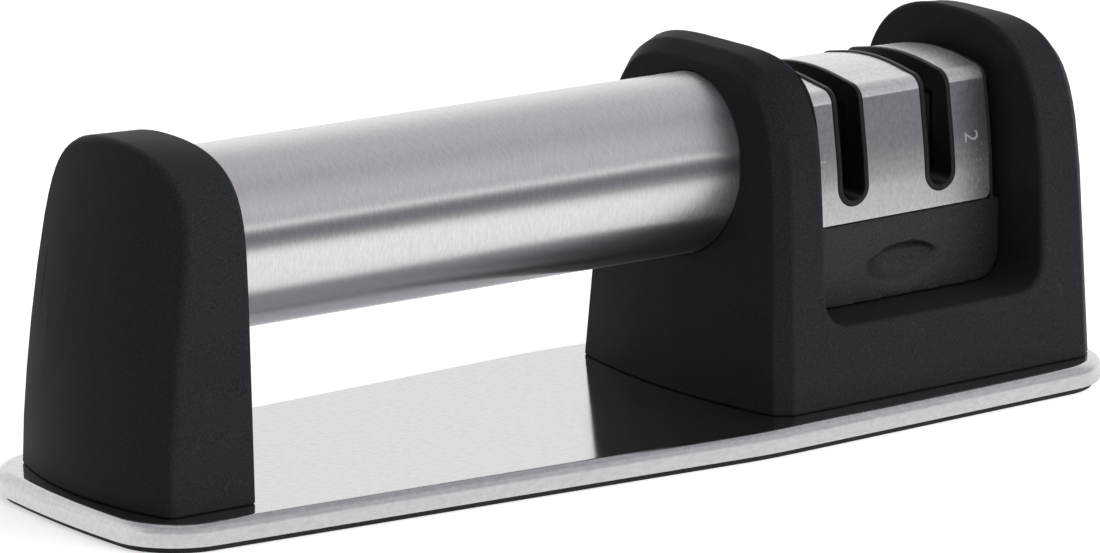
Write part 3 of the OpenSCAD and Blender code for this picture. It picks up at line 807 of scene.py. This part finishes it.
class SHARPENER_OT_sharpeners(bpy.types.Operator):
    """Finish the carbide blades, the ceramic rods and their holders"""

    bl_idname = "sharpener.sharpeners"
    bl_label = "Sharpeners"

    def execute(self, context):
        edge = shapes().small_edge
        for node in ("carbide_holder", "ceramic_holder"):
            rounded_copy(node, edge, "cartridge", "holder_plastic", liner_plastic())
        for side in ("front", "back"):
            rounded_copy(f"carbide_blade_{side}", edge, "cartridge", "carbide", carbide_grey())
            rounded_copy(f"ceramic_rod_{side}", edge, "cartridge", "ceramic", ceramic_white())
        return {"FINISHED"}


class SHARPENER_OT_numerals(bpy.types.Operator):
    """Etch a plain numeral beside each slot of the steel cover"""

    bl_idname = "sharpener.numerals"
    bl_label = "Stage numerals"

    def execute(self, context):
        size_for_height = 1.4
        drop = 12.8 * MM
        proud = 0.02 * MM
        thickness = 0.04 * MM
        in_front = -0.1
        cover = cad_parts["cartridge_cover"].data
        surface = BVHTree.FromPolygons([v.co for v in cover.vertices], [p.vertices for p in cover.polygons])
        cover_low, cover_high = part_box("cartridge_cover")
        coarse_side = (cover_low.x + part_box("slot_liner_coarse")[0].x) / 2
        fine_side = (cover_high.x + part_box("slot_liner_fine")[1].x) / 2
        upright = Matrix.Rotation(math.radians(90), 4, "X") @ Matrix.Rotation(math.radians(-90), 4, "Z")
        for text, x in (("1", coarse_side), ("2", fine_side)):
            bm = text_mesh(text, shapes().numeral_height * size_for_height)
            place = Matrix.Translation((x, 0, cover_high.z - drop))
            bmesh.ops.transform(bm, matrix=place @ upright, verts=bm.verts)
            for corner in bm.verts:
                start = Vector((corner.co.x, in_front, corner.co.z))
                hit = surface.ray_cast(start, Vector((0, 1, 0)))[0]
                if hit is None:
                    raise RuntimeError(f"numeral {text} misses the cover")
                corner.co.y = hit.y - proud
            bmesh.ops.recalc_face_normals(bm, faces=bm.faces)
            bmesh.ops.solidify(bm, geom=bm.faces, thickness=thickness)
            piece = new_piece(f"Stage_numeral_{text}", bm, recalculate=True)
            dress(piece, "cartridge", "cover_steel", etched_steel())
        return {"FINISHED"}


class SHARPENER_OT_stage(bpy.types.Operator):
    """Set up the floor, the light and the camera"""

    bl_idname = "sharpener.stage"
    bl_label = "Stage"

    def execute(self, context):
        make_floor()
        make_world()
        make_lamp()
        make_camera()
        bpy.context.scene.view_settings.view_transform = "Standard"
        return {"FINISHED"}


# Floor, light and camera

LAMP_PLACE = Vector((0.5, -0.9, 0.32))
CAMERA_PLACE = Vector((-0.65337, -0.92491, 0.29286))
CAMERA_TURN = (-35.165, 13.221, -0.386)  # azimuth, elevation and roll in degrees

# Brightness of the mirrored room by elevation in degrees, on the front side and on the far side
FRONT_BANDS = (
    (-90, 1.0), (-18, 1.0), (-13, 0.93), (-9, 0.7), (-5, 0.38), (-2, 0.28), (2, 0.21), (8, 0.21),
    (12, 0.4), (14, 0.95), (16.5, 0.95), (18.5, 0.56), (24, 0.54), (29, 0.61), (34, 0.58), (42, 0.56),
    (48, 0.5), (56, 0.42), (64, 0.42), (75, 0.6), (90, 0.6),
)
FAR_BANDS = (
    (-90, 1.0), (18, 1.0), (25, 0.94), (31, 0.87), (37, 0.79), (43, 0.69), (52, 0.54), (57, 0.46),
    (64, 0.44), (90, 0.6),
)


def make_floor():
    """Round pale floor that keeps the object's shadow and fades into the white background"""
    settings = stage_settings()
    fade_start, fade_end = 0.2, settings.floor_radius * 0.6
    dim_start, dim_end = 0.14, settings.floor_radius * 0.46
    mirrored_near, mirrored_far = 1.02, 0.36
    bm = bmesh.new()
    bmesh.ops.create_circle(bm, cap_ends=True, segments=96, radius=settings.floor_radius)
    floor = new_piece("Floor", bm)
    material, tree, shader, place = new_material("Floor")
    tree.nodes.remove(shader)
    path = add_node(tree, "ShaderNodeLightPath")
    seen = path.outputs["Is Camera Ray"]
    mirrored = path.outputs["Is Glossy Ray"]
    distance = add_node(tree, "ShaderNodeVectorMath", {0: place}, operation="LENGTH").outputs["Value"]
    paint = add_node(tree, "ShaderNodeBsdfDiffuse", {"Color": (*settings.floor_colour, 1)})
    glow_strength = calculate(tree, "MULTIPLY", seen, settings.floor_glow)
    glow = add_node(tree, "ShaderNodeEmission", {"Strength": glow_strength})
    near = add_node(tree, "ShaderNodeAddShader", {0: paint.outputs["BSDF"], 1: glow.outputs["Emission"]})
    level = ranged(tree, distance, dim_start, dim_end, mirrored_near, mirrored_far)
    level = calculate(tree, "MULTIPLY", level, mirrored)
    backdrop = add_node(tree, "ShaderNodeEmission", {"Strength": calculate(tree, "ADD", seen, level)})
    fade = ranged(tree, distance, fade_start, fade_end, 0.0, 1.0)
    fade = calculate(tree, "MULTIPLY", fade, seen)
    share = calculate(tree, "ADD", fade, mirrored)
    mix = add_node(
        tree, "ShaderNodeMixShader",
        {0: share, 1: near.outputs["Shader"], 2: backdrop.outputs["Emission"]},
    )
    feed(tree, mix.outputs["Shader"], tree.nodes["Material Output"].inputs["Surface"])
    floor.data.materials.append(material)


def level_ramp(tree, position, stops):
    """Colour ramp from elevation in degrees to brightness, a little bluer where it is darker"""
    less_green = 0.04
    more_blue = 0.1
    ramp = add_node(tree, "ShaderNodeValToRGB", {"Fac": position})
    elements = ramp.color_ramp.elements
    while len(elements) < len(stops):
        elements.new(0.5)
    for element, (degrees, level) in zip(elements, stops):
        element.position = (degrees + 90) / 180
        cool = 1 - level
        element.color = (level, level * (1 - less_green * cool), level * (1 + more_blue * cool), 1)
    return ramp.outputs["Color"]


def mirrored_room(tree, direction, diffuse_depth):
    """The soft bands that the steel mirrors, dimmer where the steel throws them on"""
    seam = 0.12
    elevation = calculate(tree, "ARCSINE", direction["Z"], 0)
    position = ranged(tree, elevation, -math.pi / 2, math.pi / 2, 0.0, 1.0)
    front = level_ramp(tree, position, FRONT_BANDS)
    far = level_ramp(tree, position, FAR_BANDS)
    side = ranged(tree, direction["Y"], -seam, seam, 0.0, 1.0)
    bounced = calculate(tree, "MINIMUM", diffuse_depth, 1)
    kept = ranged(tree, bounced, 0, 1, 1.0, stage_settings().bounce_kept)
    return scaled(tree, blended(tree, side, front, far), kept)


def even_light(tree, direction):
    """Level of the light on matt surfaces, which leans to the head's end, the front and above"""
    least = 0.05
    settings = stage_settings()
    from_side = calculate(tree, "MULTIPLY", direction["X"], settings.side_light)
    from_front = calculate(tree, "MULTIPLY", direction["Y"], -settings.front_light)
    from_above = calculate(tree, "MULTIPLY", direction["Z"], settings.top_light)
    leaning = calculate(tree, "ADD", calculate(tree, "ADD", from_side, from_front), from_above)
    return calculate(tree, "MAXIMUM", calculate(tree, "ADD", leaning, settings.sky_level), least)


def make_world():
    """White room whose mirror image has the soft bands of a studio"""
    world = bpy.data.worlds.new("Studio")
    bpy.context.scene.world = world
    world.use_nodes = True
    tree = world.node_tree
    background = tree.nodes["Background"]
    place = add_node(tree, "ShaderNodeTexCoord").outputs["Generated"]
    direction = add_node(tree, "ShaderNodeSeparateXYZ", {"Vector": place}).outputs
    path = add_node(tree, "ShaderNodeLightPath").outputs
    room = mirrored_room(tree, direction, path["Diffuse Depth"])
    lit = blended(tree, path["Is Glossy Ray"], even_light(tree, direction), room)
    seen = calculate(tree, "MAXIMUM", path["Is Camera Ray"], path["Is Transmission Ray"])
    feed(tree, blended(tree, seen, lit, (1, 1, 1, 1)), background.inputs["Color"])


def make_lamp():
    """One large soft lamp in front and above, which does not mirror in the steel"""
    lamp = bpy.data.lights.new("Key lamp", "AREA")
    lamp.shape = "DISK"
    lamp.size = stage_settings().key_size
    lamp.energy = stage_settings().key_power
    holder = bpy.data.objects.new("Key lamp", lamp)
    holder.location = LAMP_PLACE
    holder.rotation_mode = "QUATERNION"
    holder.rotation_quaternion = (-LAMP_PLACE).to_track_quat("-Z", "Y")
    holder.visible_glossy = False
    bpy.context.scene.collection.objects.link(holder)


def make_camera():
    """Long lens from the front left, a little above"""
    azimuth, elevation, roll = (math.radians(angle) for angle in CAMERA_TURN)
    across = math.cos(elevation)
    back = Vector((math.sin(azimuth) * across, -math.cos(azimuth) * across, math.sin(elevation)))
    right = Vector((0, 0, 1)).cross(back).normalized()
    up = back.cross(right)
    turned_right = math.cos(roll) * right + math.sin(roll) * up
    turned_up = math.cos(roll) * up - math.sin(roll) * right
    camera = bpy.data.cameras.new("Camera")
    camera.lens = stage_settings().lens
    camera.sensor_width = 36
    camera.clip_start = 0.01
    camera.clip_end = 50
    holder = bpy.data.objects.new("Camera", camera)
    holder.rotation_mode = "QUATERNION"
    holder.rotation_quaternion = Matrix((turned_right, turned_up, back)).transposed().to_quaternion()
    holder.location = CAMERA_PLACE
    bpy.context.scene.collection.objects.link(holder)
    bpy.context.scene.camera = holder


# Panel, registration and the run

class SHARPENER_PT_panel(bpy.types.Panel):
    """Lists the sharpener's settings and steps"""

    bl_idname = "SHARPENER_PT_panel"
    bl_label = "Sharpener"
    bl_space_type = "VIEW_3D"
    bl_region_type = "UI"
    bl_category = "Sharpener"

    def draw(self, context):
        for settings in (shapes(), finishes(), stage_settings()):
            box = self.layout.box()
            for key in settings.__annotations__:
                box.prop(settings, key)
        for operator in OPERATORS:
            self.layout.operator(operator.bl_idname)


SETTINGS = (
    ("sharpener_shapes", SharpenerShapes),
    ("sharpener_finishes", SharpenerFinishes),
    ("sharpener_stage", SharpenerStage),
)
OPERATORS = (
    SHARPENER_OT_base,
    SHARPENER_OT_supports,
    SHARPENER_OT_handle,
    SHARPENER_OT_cartridge,
    SHARPENER_OT_sharpeners,
    SHARPENER_OT_numerals,
    SHARPENER_OT_stage,
)


def register():
    for name, group in SETTINGS:
        bpy.utils.register_class(group)
        setattr(bpy.types.Scene, name, PointerProperty(type=group))
    for entry in (*OPERATORS, SHARPENER_PT_panel):
        bpy.utils.register_class(entry)


def unregister():
    for entry in (SHARPENER_PT_panel, *reversed(OPERATORS)):
        bpy.utils.unregister_class(entry)
    for name, group in reversed(SETTINGS):
        delattr(bpy.types.Scene, name)
        bpy.utils.unregister_class(group)


def main():
    """Makes every piece and the stage"""
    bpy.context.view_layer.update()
    register()
    bpy.ops.sharpener.base()
    bpy.ops.sharpener.supports()
    bpy.ops.sharpener.handle()
    bpy.ops.sharpener.cartridge()
    bpy.ops.sharpener.sharpeners()
    bpy.ops.sharpener.numerals()
    bpy.ops.sharpener.stage()


if __name__ == "__main__":
    main()
